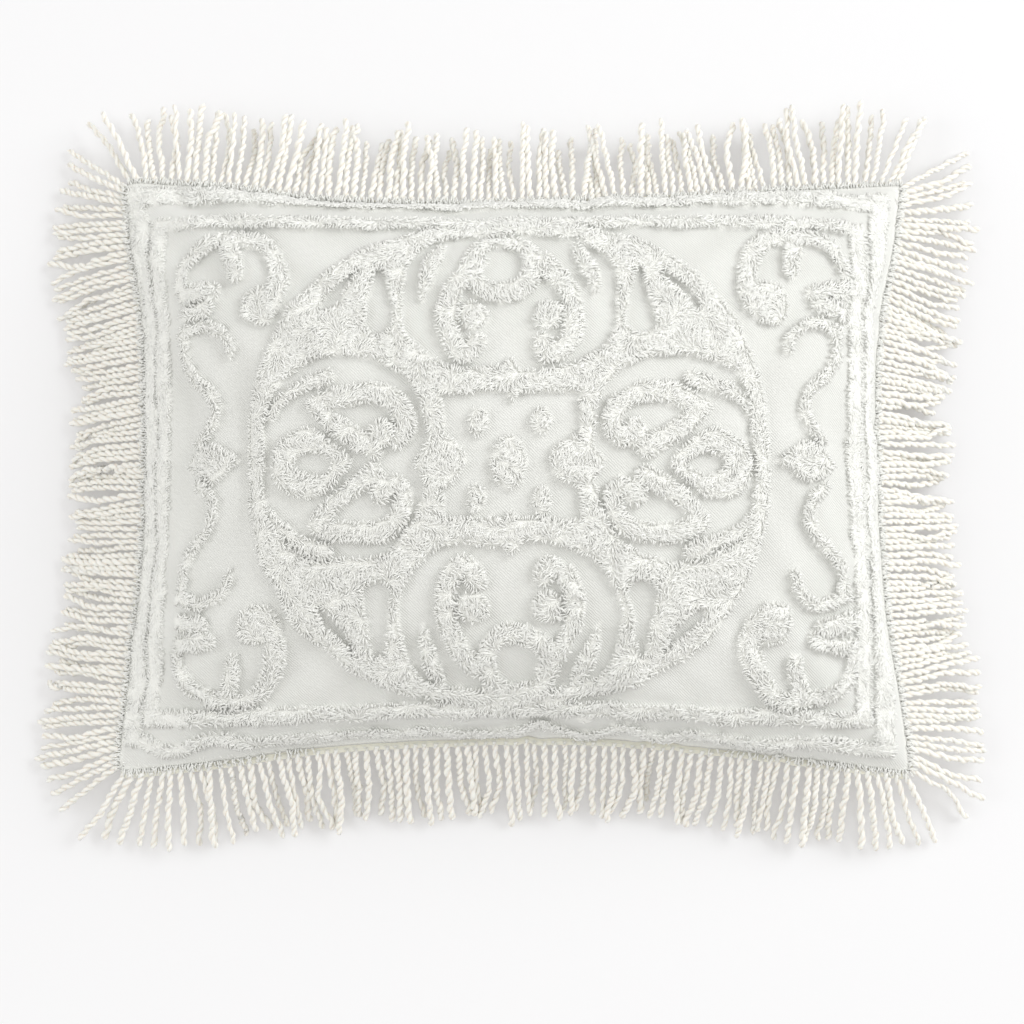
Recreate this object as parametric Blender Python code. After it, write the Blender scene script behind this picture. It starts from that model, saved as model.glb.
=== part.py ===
"""A chenille pillow sham on its pillow, lying on its back, with a bullion fringe sewn into all four seams.

Metres, +Z up, +X along the long sides. The origin is the middle of the flat spot that the sham lies on.
The filled sham is one solid: two panels meet in a seam that is drawn in between the corners, the front
crowns up to the height of its tufted pile, and the back is pressed flat where it lies.
Each side's fringe is one comb: a heading along the seam, and a tooth for every pair of cords.
"""

import math
import random

import bpy

# The filled sham, cut 0.660 by 0.508 and drawn in by its filling
CORNER_X, CORNER_Y = 0.3225, 0.2435  # the corners of the seam
DRAW_X, DRAW_Y = 0.0225, 0.0205  # how far a side's middle is drawn in from its corners
DRAW_POWER = 2.6  # how long the straight middle of a side is
SEAM_Z = 0.055  # the seam's height at the middle of a side
CORNER_DROOP = 0.022  # how much lower the thin corners hang
SEAM_HALF = 0.002  # half the thickness of the sewn edge
CLOTH_CROWN = 0.098  # the front panel's rise above the seam
PILE_HEIGHT = 0.005  # the chenille's tufts stand this far off the front panel
BACK_CROWN = 0.085  # the back panel's fall below the seam, before the floor stops it
CROWN_POWER = 0.7  # the steepness of the panels beside the seam
BODY_COLUMNS, BODY_ROWS = 32, 24

# The fringe
CORD_LENGTH = 0.072  # free of the heading, so that the fringe is three inches deep
CORD_THICK = 0.0046
HEADING_WIDTH = 0.005  # the heading of the fringe, which is caught in the seam
HEADING_HALF = 0.0015
SEAM_GAP = 0.0004  # between the sham and each fringe
CORNER_GAP = 0.0012  # between the end of one fringe and the corner's diagonal
TOOTH_PITCH = 0.0138  # two cords and their gaps
TOOTH_FILL = 0.70  # the share of the pitch that the pair of cords takes
TOOTH_TAPER = 0.90  # a pair draws together towards its ends
FLOOR_CLEARANCE = 0.0006
LENGTH_SPREAD = 0.05  # cords differ in length by this share
LEAN_SPREAD = math.radians(2.5)  # and lean to one side or the other by this angle
FAN_REACH = 0.085  # the cords fan out over this stretch beside each corner
FAN_ANGLE = math.radians(38)
FAN_POWER = 1.4
# Where a tooth's sections are: share of its reach, and share of its fall from the seam to the floor
DROOP = ((0.36, 0.20), (0.72, 0.62), (1.0, 1.0))

COTTON = (0.86, 0.86, 0.83)
CORD_COTTON = (0.87, 0.84, 0.78)


def drawn_in(share):
    """How much of the draw applies at this share of a side: 1 at its middle, 0 at its corners."""
    return 1 - abs(share) ** DRAW_POWER


def half_width(share):
    return CORNER_X - DRAW_X * drawn_in(share)


def half_height(share):
    return CORNER_Y - DRAW_Y * drawn_in(share)


def seam_z(a, b):
    """The seam's height where a and b run from -1 to 1 across the width and the height."""
    return SEAM_Z - CORNER_DROOP * abs(a * b) ** 3


def crown(a, b):
    """The swell of a panel, from 0 on the seam to 1 in the middle."""
    return max(0.0, (1 - a * a) * (1 - b * b)) ** CROWN_POWER


def spaced(count):
    """Shares from -1 to 1 for the grid lines of a panel, closer together on the steep sides."""
    widest = math.radians(85)
    return [math.sin(widest * (2 * index / count - 1)) / math.sin(widest) for index in range(count + 1)]


def make_object(name, points, faces, material):
    mesh = bpy.data.meshes.new(name)
    mesh.from_pydata(points, [], faces)
    mesh.update()
    mesh.materials.append(material)
    mesh.shade_smooth()
    mesh.set_sharp_from_angle(angle=math.radians(50))
    made = bpy.data.objects.new(name, mesh)
    bpy.context.scene.collection.objects.link(made)
    return made


def make_material(name, colour, roughness):
    material = bpy.data.materials.new(name)
    material.use_nodes = True
    shader = material.node_tree.nodes["Principled BSDF"]
    shader.inputs["Base Color"].default_value = (*colour, 1)
    shader.inputs["Roughness"].default_value = roughness
    shader.inputs["Metallic"].default_value = 0
    return material


def panel_point(a, b, side):
    """A point of the front (side 1) or back (side -1) panel."""
    swell = (CLOTH_CROWN + PILE_HEIGHT) * crown(a, b) if side > 0 else -BACK_CROWN * crown(a, b)
    z = seam_z(a, b) + side * SEAM_HALF + swell
    return (a * half_width(b), b * half_height(a), max(0.0, z))


def make_sham(material):
    """The filled sham: a front and a back panel on one grid of shares, joined by a rim along the seam."""
    across, up = spaced(BODY_COLUMNS), spaced(BODY_ROWS)
    points, faces, at = [], [], {}
    for side in (1, -1):
        for row, b in enumerate(up):
            for column, a in enumerate(across):
                at[side, column, row] = len(points)
                points.append(panel_point(a, b, side))
    for row in range(BODY_ROWS):
        for column in range(BODY_COLUMNS):
            ring = [(column, row), (column + 1, row), (column + 1, row + 1), (column, row + 1)]
            faces.append([at[(1, *corner)] for corner in ring])
            faces.append([at[(-1, *corner)] for corner in reversed(ring)])
    rim = [(column, 0) for column in range(BODY_COLUMNS)]
    rim += [(BODY_COLUMNS, row) for row in range(BODY_ROWS)]
    rim += [(column, BODY_ROWS) for column in range(BODY_COLUMNS, 0, -1)]
    rim += [(0, row) for row in range(BODY_ROWS, 0, -1)]
    for here, there in zip(rim, rim[1:] + rim[:1]):
        faces.append([at[(-1, *here)], at[(-1, *there)], at[(1, *there)], at[(1, *here)]])
    return make_object("sham", points, faces, material)


class Side:
    """One side of the seam, from corner to corner, with the fringe outside it.

    The share runs from -1 to 1. Along the top and the bottom it runs across the width, and along the
    other two it runs up the height. Facing is 1 for the top and the right, and -1 for the others.
    """

    def __init__(self, name, along_x, facing):
        self.name, self.along_x, self.facing = name, along_x, facing
        steps = 400
        self.shares = [2 * i / steps - 1 for i in range(steps + 1)]
        line = [self.seam(share) for share in self.shares]
        self.walked = [0.0]
        for here, there in zip(line, line[1:]):
            self.walked.append(self.walked[-1] + math.dist(here, there))
        self.length = self.walked[-1]

    def seam(self, share):
        """The seam's point in plan."""
        if self.along_x:
            return (share * CORNER_X, self.facing * half_height(share))
        return (self.facing * half_width(share), share * CORNER_Y)

    def share_at(self, distance):
        """The share at a distance walked along the seam from its first corner."""
        for index, far in enumerate(self.walked):
            if far >= distance:
                break
        else:
            return 1.0
        if index == 0:
            return -1.0
        before = self.walked[index - 1]
        part = (distance - before) / (self.walked[index] - before)
        return self.shares[index - 1] + part * (self.shares[index] - self.shares[index - 1])

    def fan(self, distance):
        """How far the cords turn towards the nearer corner, in radians."""
        near = min(distance, self.length - distance)
        turn = FAN_ANGLE * max(0.0, 1 - near / FAN_REACH) ** FAN_POWER
        return turn if distance > self.length / 2 else -turn

    def outward(self, distance, lean=0.0):
        """The direction in plan in which the cords leave the seam."""
        share = self.share_at(distance)
        (x0, y0), (x1, y1) = self.seam(max(-1.0, share - 0.01)), self.seam(min(1.0, share + 0.01))
        tangent = math.atan2(y1 - y0, x1 - x0)
        # The outside is on the left of the way along the top and the right of the way up the right side
        quarter = math.pi / 2 if self.along_x == (self.facing > 0) else -math.pi / 2
        turn = self.fan(distance) + lean
        angle = tangent + quarter - math.copysign(1.0, quarter) * turn
        return (math.cos(angle), math.sin(angle))

    def edge_point(self, distance, out, z_offset=0.0):
        """A point that is out from the seam, at the seam's own height."""
        share = self.share_at(distance)
        x, y = self.seam(share)
        dx, dy = self.outward(distance)
        return (x + out * dx, y + out * dy, SEAM_Z - CORNER_DROOP * abs(share) ** 3 + z_offset)


def tooth_sections(side, start, end, length, lean):
    """The corners of a pair of cords: its root's four and those of each section down to its tip."""
    middle = (start + end) / 2
    root_out = SEAM_GAP + HEADING_WIDTH
    root = side.edge_point(middle, root_out)
    dx, dy = side.outward(middle, lean)
    fall = root[2] - CORD_THICK / 2 - FLOOR_CLEARANCE
    reach = math.sqrt(max(0.0, length**2 - fall**2))
    left, right = side.edge_point(start, root_out), side.edge_point(end, root_out)
    half = math.dist(left[:2], right[:2]) / 2
    across = ((right[0] - left[0]) / 2, (right[1] - left[1]) / 2)
    square = (-dy, dx) if across[0] * -dy + across[1] * dx > 0 else (dy, -dx)
    sections = []
    for along, down in DROOP:
        x, y, z = root[0] + reach * along * dx, root[1] + reach * along * dy, root[2] - fall * down
        wide = half * (1 - (1 - TOOTH_TAPER) * along)
        thick = CORD_THICK / 2
        ends = [(x - square[0] * wide, y - square[1] * wide), (x + square[0] * wide, y + square[1] * wide)]
        sections.append([(*ends[0], z + thick), (*ends[1], z + thick), (*ends[1], z - thick), (*ends[0], z - thick)])
    return sections


def make_fringe(side, chance, material):
    """One side's comb: a heading with a tooth of two cords in every pitch."""
    count = round((side.length - 2 * CORNER_GAP) / TOOTH_PITCH)
    pitch = (side.length - 2 * CORNER_GAP) / count
    margin = pitch * (1 - TOOTH_FILL) / 2
    points, faces = [], []

    def add(point):
        points.append(point)
        return len(points) - 1

    inner = []
    for index in range(count + 1):
        distance = CORNER_GAP + index * pitch
        inner.append([add(side.edge_point(distance, SEAM_GAP, z)) for z in (HEADING_HALF, -HEADING_HALF)])
    ends = [CORNER_GAP, side.length - CORNER_GAP]
    out = SEAM_GAP + HEADING_WIDTH
    first, last = ([add(side.edge_point(end, out, z)) for z in (HEADING_HALF, -HEADING_HALF)] for end in ends)
    before = first
    for index in range(count):
        start = CORNER_GAP + index * pitch + margin
        end = start + pitch - 2 * margin
        length = CORD_LENGTH * (1 + LENGTH_SPREAD * chance.uniform(-1, 1))
        lean = LEAN_SPREAD * chance.uniform(-1, 1)
        top_start, low_start = (add(side.edge_point(start, out, z)) for z in (HEADING_HALF, -HEADING_HALF))
        top_end, low_end = (add(side.edge_point(end, out, z)) for z in (HEADING_HALF, -HEADING_HALF))
        (top_in, low_in), (top_next, low_next) = inner[index], inner[index + 1]
        # The heading: above, below, its inner side, and the gap before this tooth
        faces.append([top_in, top_next, top_end, top_start])
        faces.append([low_in, low_start, low_end, low_next])
        faces.append([top_in, low_in, low_next, top_next])
        faces.append([top_in, top_start, before[0]])
        faces.append([low_in, before[1], low_start])
        faces.append([before[0], top_start, low_start, before[1]])
        ring = [top_start, top_end, low_end, low_start]
        for section in tooth_sections(side, start, end, length, lean):
            there = [add(corner) for corner in section]
            for corner in range(4):
                following = (corner + 1) % 4
                faces.append([ring[corner], ring[following], there[following], there[corner]])
            ring = there
        faces.append(ring)
        before = [top_end, low_end]
    faces.append([inner[-1][0], last[0], before[0]])
    faces.append([inner[-1][1], before[1], last[1]])
    faces.append([before[0], last[0], last[1], before[1]])
    faces.append([inner[0][0], first[0], first[1], inner[0][1]])
    faces.append([inner[-1][0], inner[-1][1], last[1], last[0]])
    # The way round the comb is the other way where the outside is on the right of the seam's direction
    if side.along_x != (side.facing > 0):
        faces = [face[::-1] for face in faces]
    return make_object(side.name, points, faces, material)


def main():
    for left_over in list(bpy.data.objects):
        bpy.data.objects.remove(left_over)
    cotton = make_material("chenille_cotton", COTTON, 0.95)
    cord = make_material("fringe_cotton", CORD_COTTON, 0.9)
    make_sham(cotton)
    chance = random.Random(7)
    for name, along_x, facing in (
        ("fringe_top", True, 1),
        ("fringe_bottom", True, -1),
        ("fringe_left", False, -1),
        ("fringe_right", False, 1),
    ):
        make_fringe(Side(name, along_x, facing), chance, cord)


main()
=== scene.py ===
# %% [markdown]
# # A chenille pillow sham with a bullion fringe
#
# The sham is a cotton cover on a bed pillow. Its front is tufted with soft chenille yarn in a medallion,
# corner scrolls and border lines, and a fringe of twisted cords is sewn into all four seams.
# This lesson fills the cover with a cloth simulation, tufts it, and hangs the fringe, one step to a cell.
# The first cell loads the plain solids that the parts have to fit, and keeps the box that they fill.

# %% Load the frame
import math

import bpy
import numpy as np
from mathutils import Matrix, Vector


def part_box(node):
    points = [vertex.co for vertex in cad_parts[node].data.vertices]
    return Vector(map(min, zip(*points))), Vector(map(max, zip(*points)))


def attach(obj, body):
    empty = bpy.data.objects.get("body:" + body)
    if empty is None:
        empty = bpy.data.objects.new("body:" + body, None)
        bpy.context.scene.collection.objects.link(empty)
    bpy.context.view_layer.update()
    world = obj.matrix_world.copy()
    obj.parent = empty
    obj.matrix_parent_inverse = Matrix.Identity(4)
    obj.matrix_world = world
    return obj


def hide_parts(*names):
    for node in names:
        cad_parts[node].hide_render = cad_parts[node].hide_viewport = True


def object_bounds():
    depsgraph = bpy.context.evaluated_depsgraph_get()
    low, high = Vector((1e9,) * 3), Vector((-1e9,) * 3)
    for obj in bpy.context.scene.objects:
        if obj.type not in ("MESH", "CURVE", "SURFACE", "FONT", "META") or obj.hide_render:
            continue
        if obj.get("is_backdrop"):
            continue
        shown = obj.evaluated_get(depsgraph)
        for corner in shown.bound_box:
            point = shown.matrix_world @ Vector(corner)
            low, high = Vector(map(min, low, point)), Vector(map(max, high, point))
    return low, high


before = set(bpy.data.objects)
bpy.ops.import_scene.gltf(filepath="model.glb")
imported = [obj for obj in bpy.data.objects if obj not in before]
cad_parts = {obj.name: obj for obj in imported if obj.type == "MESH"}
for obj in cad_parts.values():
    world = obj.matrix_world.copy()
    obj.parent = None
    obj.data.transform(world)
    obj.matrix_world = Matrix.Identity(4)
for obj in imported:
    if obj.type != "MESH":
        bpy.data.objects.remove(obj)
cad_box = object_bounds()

SEED = 11
MM = 0.001
corner_x, corner_y, top_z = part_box("sham")[1]
print(f"the filled sham is {2 * corner_x:.3f} by {2 * corner_y:.3f} m at its corners and {top_z:.3f} m high")

# %% [markdown]
# ## Camera and light
#
# The sham lies on its back and is seen from nearly straight above, with its lower edge a little nearer.
# A long lens from two metres away keeps its sides parallel. The light is that of a white studio: one large
# soft lamp at the upper right, which lets the tufts cast short shadows to the left, a weaker one opposite, a
# small one overhead, and a white surrounding that fills in the rest. The lamps are a touch cool and the room
# is a touch warm, which keeps the shaded side of white cotton creamy. The floor is a big pale sheet, and
# gives a little light of its own, as a light table does, so that the gaps between the cords stay light.

# %% Camera
LENS_MM, SENSOR_MM = 96, 36
CAMERA_DISTANCE = 2.2
CAMERA_LEAN = math.radians(6)
AIM = Vector((-0.003, -0.034, 0.050))

camera_data = bpy.data.cameras.new("camera")
camera_data.lens, camera_data.sensor_width = LENS_MM, SENSOR_MM
camera = bpy.data.objects.new("camera", camera_data)
bpy.context.scene.collection.objects.link(camera)
camera.location = AIM + CAMERA_DISTANCE * Vector((0, -math.sin(CAMERA_LEAN), math.cos(CAMERA_LEAN)))
camera.rotation_euler = (AIM - camera.location).to_track_quat("-Z", "Y").to_euler()
bpy.context.scene.camera = camera
print(f"the camera looks down from {camera.location.z:.2f} m")


# %% Lamps, surroundings and floor
LAMP_COLOUR, ROOM_COLOUR = (0.98, 0.995, 1.0), (1.0, 0.98, 0.955)
ROOM_STRENGTH = 0.66
FLOOR_HALF = 4.0


def soft_lamp(name, azimuth, elevation, distance, size, watts):
    """A square lamp that faces the sham. Azimuth 0 is over the right edge, and 90 over the top."""
    lamp = bpy.data.lights.new(name, "AREA")
    lamp.size, lamp.energy, lamp.color = size, watts, LAMP_COLOUR
    placed = bpy.data.objects.new(name, lamp)
    bpy.context.scene.collection.objects.link(placed)
    turn, rise = math.radians(azimuth), math.radians(elevation)
    away = Vector((math.cos(turn) * math.cos(rise), math.sin(turn) * math.cos(rise), math.sin(rise)))
    placed.location = distance * away
    placed.rotation_euler = (-away).to_track_quat("-Z", "Y").to_euler()


soft_lamp("key", azimuth=26, elevation=32, distance=5.0, size=3.4, watts=146)
soft_lamp("fill", azimuth=185, elevation=32, distance=5.0, size=3.0, watts=55)
soft_lamp("overhead", azimuth=-90, elevation=82, distance=4.0, size=1.6, watts=22)

world = bpy.data.worlds.new("white_room")
bpy.context.scene.world = world
world.use_nodes = True
world.node_tree.nodes["Background"].inputs["Color"].default_value = (*ROOM_COLOUR, 1)
world.node_tree.nodes["Background"].inputs["Strength"].default_value = ROOM_STRENGTH
bpy.context.scene.view_settings.view_transform = "Standard"

floor_corners = [(x * FLOOR_HALF, y * FLOOR_HALF, 0) for x, y in ((-1, -1), (1, -1), (1, 1), (-1, 1))]
floor_mesh = bpy.data.meshes.new("floor")
floor_mesh.from_pydata(floor_corners, [], [(0, 1, 2, 3)])
floor = bpy.data.objects.new("floor", floor_mesh)
bpy.context.scene.collection.objects.link(floor)
floor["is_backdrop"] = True
print("three lamps, a white room and a floor")

# %% [markdown]
# ## Materials
#
# Everything is undyed cotton, and the finishes differ by their surface. The ground is a close twill, whose
# fine diagonal ribs show as bump on a slightly grey white, with a little painted shade in the valleys between
# them. The tufts are loose cut yarn, whiter and with a soft sheen from loose fibres. The cords are warmer,
# let a little light through and have a fine bump of fibres. The grooves between their plies get painted
# shade, a deeper tan, and the heading is a deeper colour than the cords: the mesh keeps a value from 0 to 1
# at each point for both, and the material blends by it. A noise between two close shades keeps each finish
# from being one flat colour.


# %% Material helpers
def new_material(name, roughness, sheen, specular=0.25):
    material = bpy.data.materials.new(name)
    material.use_nodes = True
    shader = material.node_tree.nodes["Principled BSDF"]
    shader.inputs["Roughness"].default_value = roughness
    shader.inputs["Specular IOR Level"].default_value = specular
    shader.inputs["Sheen Weight"].default_value = sheen
    shader.inputs["Sheen Roughness"].default_value = 0.5
    return material, shader


def add_node(material, kind, **values):
    """A node with its sockets set by name."""
    node = material.node_tree.nodes.new(kind)
    for socket, value in values.items():
        node.inputs[socket.replace("_", " ")].default_value = value
    return node


def mottle(material, shader, dark, light, scale):
    """Colours the material between two close shades with a noise, and returns its coordinates' node."""
    link = material.node_tree.links.new
    place = add_node(material, "ShaderNodeTexCoord")
    noise = add_node(material, "ShaderNodeTexNoise", Scale=scale, Detail=4.0, Roughness=0.6)
    ramp = add_node(material, "ShaderNodeValToRGB")
    ramp.color_ramp.elements[0].position, ramp.color_ramp.elements[1].position = 0.3, 0.7
    ramp.color_ramp.elements[0].color = (*dark, 1)
    ramp.color_ramp.elements[1].color = (*light, 1)
    link(place.outputs["Object"], noise.inputs["Vector"])
    link(noise.outputs["Fac"], ramp.inputs["Fac"])
    link(ramp.outputs["Color"], shader.inputs["Base Color"])
    return place


def tint_by(material, shader, attribute, colour):
    """Blends the base colour into another one by an attribute of the mesh, from 0 to 1."""
    share = material.node_tree.nodes.new("ShaderNodeAttribute")
    share.attribute_name = attribute
    blend = material.node_tree.nodes.new("ShaderNodeMix")
    blend.data_type = "RGBA"
    blend.inputs["B"].default_value = (*colour, 1)
    material.node_tree.links.new(share.outputs["Fac"], blend.inputs["Factor"])
    material.node_tree.links.new(shader.inputs["Base Color"].links[0].from_socket, blend.inputs["A"])
    material.node_tree.links.new(blend.outputs["Result"], shader.inputs["Base Color"])


def bump(material, shader, height, strength, distance):
    node = add_node(material, "ShaderNodeBump", Strength=strength, Distance=distance)
    material.node_tree.links.new(height, node.inputs["Height"])
    material.node_tree.links.new(node.outputs["Normal"], shader.inputs["Normal"])


# %% Cotton finishes
GROUND_DARK, GROUND_LIGHT = (0.780, 0.785, 0.752), (0.822, 0.827, 0.797)
TUFT_DARK, TUFT_LIGHT = (0.905, 0.908, 0.870), (0.950, 0.952, 0.930)
CORD_DARK, CORD_LIGHT = (0.872, 0.860, 0.805), (0.925, 0.916, 0.868)
# The first colour here is painted shade, laid into the grooves between a cord's plies; the second is the
# heading's, deeper than the cords
GROOVE_SHADE_COLOUR, HEADING_COLOUR = (0.815, 0.770, 0.690), (0.740, 0.730, 0.640)
TWILL_PITCH = 1.75 * MM
BANDS_AT_SCALE_1 = 20 / (2 * math.pi)  # how many bands a wave texture has in one unit of length

ground_cotton, ground_shader = new_material("ground_cotton", roughness=0.95, sheen=0.1)
place = mottle(ground_cotton, ground_shader, GROUND_DARK, GROUND_LIGHT, 22.0)
turned = add_node(ground_cotton, "ShaderNodeMapping", Rotation=(0, 0, math.radians(-45)))
ribs = add_node(ground_cotton, "ShaderNodeTexWave", Scale=1 / TWILL_PITCH / BANDS_AT_SCALE_1, Distortion=3.0)
ribs.inputs["Detail"].default_value = 2.0
ribs.inputs["Detail Scale"].default_value = 1.6
ground_cotton.node_tree.links.new(place.outputs["UV"], turned.inputs["Vector"])
ground_cotton.node_tree.links.new(turned.outputs["Vector"], ribs.inputs["Vector"])
bump(ground_cotton, ground_shader, ribs.outputs["Fac"], strength=0.65, distance=0.5 * MM)

# The valleys between the ribs are a little darker, as less light reaches them
valleys = ground_cotton.node_tree.nodes.new("ShaderNodeMapRange")
valleys.inputs["To Min"].default_value, valleys.inputs["To Max"].default_value = 0.940, 1.0
shaded = ground_cotton.node_tree.nodes.new("ShaderNodeVectorMath")
shaded.operation = "MULTIPLY"
ground_cotton.node_tree.links.new(ribs.outputs["Fac"], valleys.inputs["Value"])
ground_cotton.node_tree.links.new(ground_shader.inputs["Base Color"].links[0].from_socket, shaded.inputs[0])
ground_cotton.node_tree.links.new(valleys.outputs["Result"], shaded.inputs[1])
ground_cotton.node_tree.links.new(shaded.outputs["Vector"], ground_shader.inputs["Base Color"])
tint_by(ground_cotton, ground_shader, "tufted", TUFT_DARK)  # the tufts' own roots, packed under them

tuft_cotton, tuft_shader = new_material("tuft_cotton", roughness=0.9, sheen=0.25)
mottle(tuft_cotton, tuft_shader, TUFT_DARK, TUFT_LIGHT, 600.0)

cord_cotton, cord_shader = new_material("cord_cotton", roughness=0.9, sheen=0.2)
cord_shader.inputs["Subsurface Weight"].default_value = 0.35
cord_shader.inputs["Subsurface Scale"].default_value = 2.0 * MM
cord_shader.inputs["Subsurface Radius"].default_value = (1.0, 0.9, 0.8)
place = mottle(cord_cotton, cord_shader, CORD_DARK, CORD_LIGHT, 90.0)
# Painted shade: the grooves between the plies are darkened by the mesh's groove value
tint_by(cord_cotton, cord_shader, "groove_shade", GROOVE_SHADE_COLOUR)
tint_by(cord_cotton, cord_shader, "heading", HEADING_COLOUR)
fibre = add_node(cord_cotton, "ShaderNodeTexNoise", Scale=1100.0, Detail=2.0)
cord_cotton.node_tree.links.new(place.outputs["Object"], fibre.inputs["Vector"])
bump(cord_cotton, cord_shader, fibre.outputs["Fac"], strength=0.55, distance=0.4 * MM)

paper, paper_shader = new_material("floor_paper", roughness=0.8, sheen=0.0)
paper_shader.inputs["Base Color"].default_value = (0.665, 0.672, 0.690, 1)
paper_shader.inputs["Emission Color"].default_value = (1.0, 0.96, 0.92, 1)
paper_shader.inputs["Emission Strength"].default_value = 0.20
floor.data.materials.append(paper)
print("four finishes")

# %% [markdown]
# ## The filled cover
#
# A sham is two flat panels, sewn together and pushed out by the pillow inside. The shape can be drawn by
# hand, blown up by pressure alone, or drawn first and then settled as cloth. Pressure alone makes a balloon
# with sides drawn in too far, so this uses the third way. A formula gives the pillow's crown and its drawn-in
# sides. The cloth starts as two flat panels at the size they were cut, and is drawn onto that form with soft
# pins. The panels are a little larger than the form, so the spare cloth puckers towards the corners
# and along the seams, as on the real thing.

# %% The pillow's form
CUT_HALF = np.array((0.330, 0.254))  # half the size each panel was cut to
# How far the filling draws each side in, in millimetres, at nine even steps from its left or lower end
DRAWN_IN = {
    "left": (2, 10, 17.5, 23, 24, 22.5, 19.5, 9, 1),
    "right": (5, 15, 25, 29.5, 32, 32, 27.5, 15.5, 6),
    "top": (3, 11, 22.5, 26.5, 26, 23.5, 19, 12.5, 6),
    "bottom": (1, 9.5, 20.5, 26, 28.5, 27, 20, 10.5, 0),
}
SEAM_Z, CORNER_DROOP = 0.055, 0.022
PILE_HEIGHT = 5.0 * MM
FRONT_CROWN = top_z - SEAM_Z - PILE_HEIGHT - 2 * MM  # the last 2 mm are for the puckers
BACK_CROWN = 0.085
CROWN_POWER, CROWN_LEAN = 0.62, 0.10  # a lower power makes a steeper flank, as on the right
CORNER_ROUND = 9 * MM


def catmull_rom(t):
    """The weights of four points in a row, for a place t between the middle two."""
    return 0.5 * np.stack(
        [-t + 2 * t**2 - t**3, 2 - 5 * t**2 + 3 * t**3, t + 4 * t**2 - 3 * t**3, t**3 - t**2], -1
    )


def near_points(position, count):
    """The four points of a line next to each position, and their weights."""
    first = np.clip(np.floor(position).astype(int), 0, count - 2)
    return np.clip(first[..., None] + np.arange(-1, 3), 0, count - 1), catmull_rom(position - first)


def drawn_in(side, share):
    """How far a side is drawn in at shares from -1 to 1 along it."""
    steps = np.array(DRAWN_IN[side], float)
    near, weights = near_points((np.asarray(share) + 1) / 2 * (len(steps) - 1), len(steps))
    return MM * (steps[near] * weights).sum(-1)


def rounded_corners(a, b):
    """The shares with the places near each corner drawn onto a quarter circle."""
    start_a, start_b = 1 - CORNER_ROUND / corner_x, 1 - CORNER_ROUND / corner_y
    p = np.clip((abs(a) - start_a) / (1 - start_a), 0, 1)
    q = np.clip((abs(b) - start_b) / (1 - start_b), 0, 1)
    shrink = np.maximum(np.maximum(p, q), 1e-9) / np.maximum(np.hypot(p, q), 1e-9)
    a = np.where(p > 0, np.sign(a) * (start_a + (1 - start_a) * p * shrink), a)
    b = np.where(q > 0, np.sign(b) * (start_b + (1 - start_b) * q * shrink), b)
    return a, b


def form_point(a, b, side):
    """The pillow's form at shares a and b, from -1 to 1 across it, on the front (1) or the back (-1)."""
    a, b = rounded_corners(a, b)
    x = a * (corner_x - (drawn_in("left", b) * (1 - a) + drawn_in("right", b) * (1 + a)) / 2)
    y = b * (corner_y - (drawn_in("bottom", a) * (1 - b) + drawn_in("top", a) * (1 + b)) / 2)
    swell = np.clip((1 - a * a) * (1 - b * b), 0, None) ** (CROWN_POWER - CROWN_LEAN * a)
    z = SEAM_Z - CORNER_DROOP * abs(a * b) ** 3 + (FRONT_CROWN * swell if side > 0 else -BACK_CROWN * swell)
    return np.stack([x, y, np.maximum(z, 0)], -1)


def walked_along(line):
    """The distance walked to each point of a line, or of many lines at once."""
    steps = np.linalg.norm(np.diff(line, axis=-2), axis=-1)
    return np.concatenate([np.zeros((*steps.shape[:-1], 1)), np.cumsum(steps, axis=-1)], axis=-1)


def shares_by_length(cut_shares, line, line_shares):
    """Where along a curved line cloth lies that is cut at these shares of its length."""
    walked = walked_along(line)
    return np.interp(cut_shares, 2 * walked / walked[-1] - 1, line_shares)


def formed_panel(cut_u, cut_v, side):
    """A grid of points on the form, spaced so that a cut panel's rows and columns keep their lengths."""
    fine = np.linspace(-1, 1, 1001)
    a = shares_by_length(cut_u, form_point(fine, 0 * fine, side), fine)[None, :]
    b = shares_by_length(cut_v, form_point(0 * fine, fine, side), fine)[:, None]
    edge_a, edge_b = abs(a) ** 4, abs(b) ** 4
    return form_point(a + (cut_u[None, :] - a) * edge_b, b + (cut_v[:, None] - b) * edge_a, side)


# %% [markdown]
# The two panels are one mesh on a regular grid, joined along the seam. The flat panels are its first shape
# and the form is a shape key that grows to full over the first frames. Cloth's springs take their lengths
# from the first shape, and the pins pull towards the second.

# %% Fill the cover
CLOTH_CELL = 10 * MM
columns, rows = (round(2 * half / CLOTH_CELL) for half in CUT_HALF)
cut_u, cut_v = np.linspace(-1, 1, columns + 1), np.linspace(-1, 1, rows + 1)


def panel_indices():
    """Vertex numbers of the front and back grids. They share those on the seam."""
    front = np.arange((rows + 1) * (columns + 1)).reshape(rows + 1, columns + 1)
    back = front.copy()
    back[1:-1, 1:-1] = front.size + np.arange((rows - 1) * (columns - 1)).reshape(rows - 1, columns - 1)
    return front, back


front_index, back_index = panel_indices()


def cell_corners(grid):
    """The four corners of each cell of a grid, the way that faces the front."""
    return np.stack([grid[:-1, :-1], grid[:-1, 1:], grid[1:, 1:], grid[1:, :-1]], -1).reshape(-1, 4)


def joined(front, back):
    """One list of points from a front and a back grid."""
    points = np.empty((back_index.max() + 1, 3))
    points[back_index] = back
    points[front_index] = front
    return points


SEAM_PIN, FACE_PIN = 0.93, 0.35  # how firmly the form holds the seam, and the rest


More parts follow.
